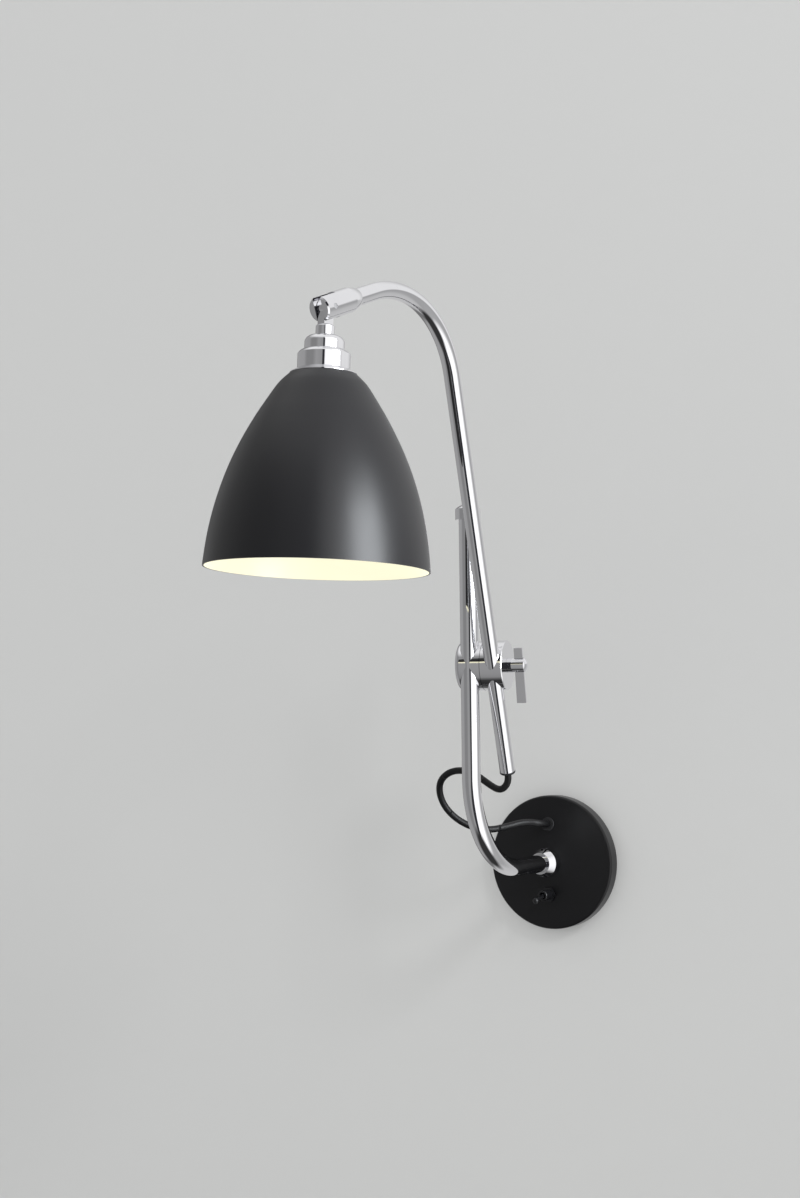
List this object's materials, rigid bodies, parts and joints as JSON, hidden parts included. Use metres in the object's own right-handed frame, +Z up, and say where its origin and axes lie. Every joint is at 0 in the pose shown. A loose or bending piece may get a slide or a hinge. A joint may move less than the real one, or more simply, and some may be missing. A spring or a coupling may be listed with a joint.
{
  "type": "articulating wall lamp",
  "caption": "Wall lamp with a domed round plate, bent upright tube, two-way barrel clamp, leaning arm tube, hinged bell shade and a looped cord.",
  "frame": {"origin": "centre of the wall plate's back face, on the wall", "axes": "+X right along the wall, +Y into the wall, +Z up"},
  "size_m": [0.1717, 0.4988, 0.5079],
  "materials": {
    "black_paint": "satin",
    "steel": "zinc plated",
    "brass": "plain",
    "chrome": "polished",
    "rubber": "matt",
    "cord": "matt",
    "black_plastic": "moulded",
    "white_plastic": "moulded",
    "nylon": "moulded",
    "shade_paint": "satin black outside, cream white inside",
    "glass": "frosted"
  },
  "bodies": {
    "wall_part": {"wall_plate": "black_paint", "mounting_bracket": "steel", "entry_bush": "brass", "tube_grub_screw": "steel", "inner_nut": "brass", "collar_nut": "chrome", "cord_grommet": "rubber", "cord_tail": "cord", "switch_body": "black_plastic", "switch_bush": "black_plastic", "switch_pivot_pin": "steel", "switch_nut": "black_plastic", "terminal_block": "white_plastic", "terminal_screws": "brass", "upright_tube": "chrome", "upright_cap": "chrome", "cord_fifth": "cord"},
    "slider": {"upright_pad": "nylon", "cord_fourth": "cord"},
    "clamp": {"clamp_body": "chrome", "seam_washer": "nylon", "cord_third": "cord"},
    "jaw": {"clamp_jaw": "chrome", "cord_second": "cord"},
    "tightener": {"clamp_screw": "chrome", "screw_washer": "chrome", "tightening_bar": "chrome"},
    "sleeve": {"arm_pad": "nylon", "cord_first": "cord"},
    "arm": {"arm_tube": "chrome", "arm_end_bush": "rubber", "arm_inner_cord": "cord", "knuckle_cone": "chrome", "knuckle_barrel": "chrome", "knuckle_pin": "steel", "knuckle_washers": "nylon"},
    "head": {"tongue": "chrome", "head_neck": "chrome", "lampholder_cap": "chrome", "lampholder_skirt": "chrome", "holder_locknut": "brass", "lampholder_insert": "black_plastic", "centre_contact": "brass", "shade_ring": "chrome", "shade": "shade_paint", "shade_retaining_ring": "black_plastic", "bulb_cap": "brass", "bulb_glass": "glass"},
    "lever": {"switch_lever": "black_plastic"}
  },
  "joints": [
    {"name": "clamp_slide", "type": "slide", "parent": "wall_part", "child": "slider", "axis": [0, 0, 1], "range_m": [-0.05, 0.09], "deforming": ["cord_fifth"]},
    {"name": "clamp_swivel", "type": "hinge", "parent": "slider", "child": "clamp", "pos_m": [0, -0.1535, 0.1701], "axis": [0, 0, 1], "range_deg": [-75, 75], "deforming": ["cord_fourth"]},
    {"name": "arm_lean", "type": "hinge", "parent": "clamp", "child": "jaw", "pos_m": [0.00699, -0.13862, 0.1701], "axis": [0.977, 0.213, 0], "range_deg": [-24, 30], "deforming": ["cord_third"]},
    {"name": "arm_twist", "type": "hinge", "parent": "jaw", "child": "sleeve", "pos_m": [0.01939, -0.14855, 0.1644], "axis": [0.0894, -0.4098, 0.9078], "range_deg": [-60, 60], "deforming": ["cord_second"]},
    {"name": "arm_slide", "type": "slide", "parent": "sleeve", "child": "arm", "axis": [0.0894, -0.4098, 0.9078], "range_m": [-0.03, 0.06], "deforming": ["cord_first"]},
    {"name": "tightener_turn", "type": "hinge", "parent": "clamp", "child": "tightener", "pos_m": [0.00699, -0.13862, 0.1701], "axis": [0.977, 0.213, 0], "range_deg": [-90, 90]},
    {"name": "shade_tilt", "type": "hinge", "parent": "arm", "child": "head", "pos_m": [0.03065, -0.41192, 0.41773], "axis": [0.9905, -0.1353, -0.0227], "range_deg": [-60, 35]},
    {"name": "switch_toggle", "type": "hinge", "parent": "wall_part", "child": "lever", "pos_m": [0, -0.0255, -0.028], "axis": [1, 0, 0], "range_deg": [-24, 0]}
  ]
}
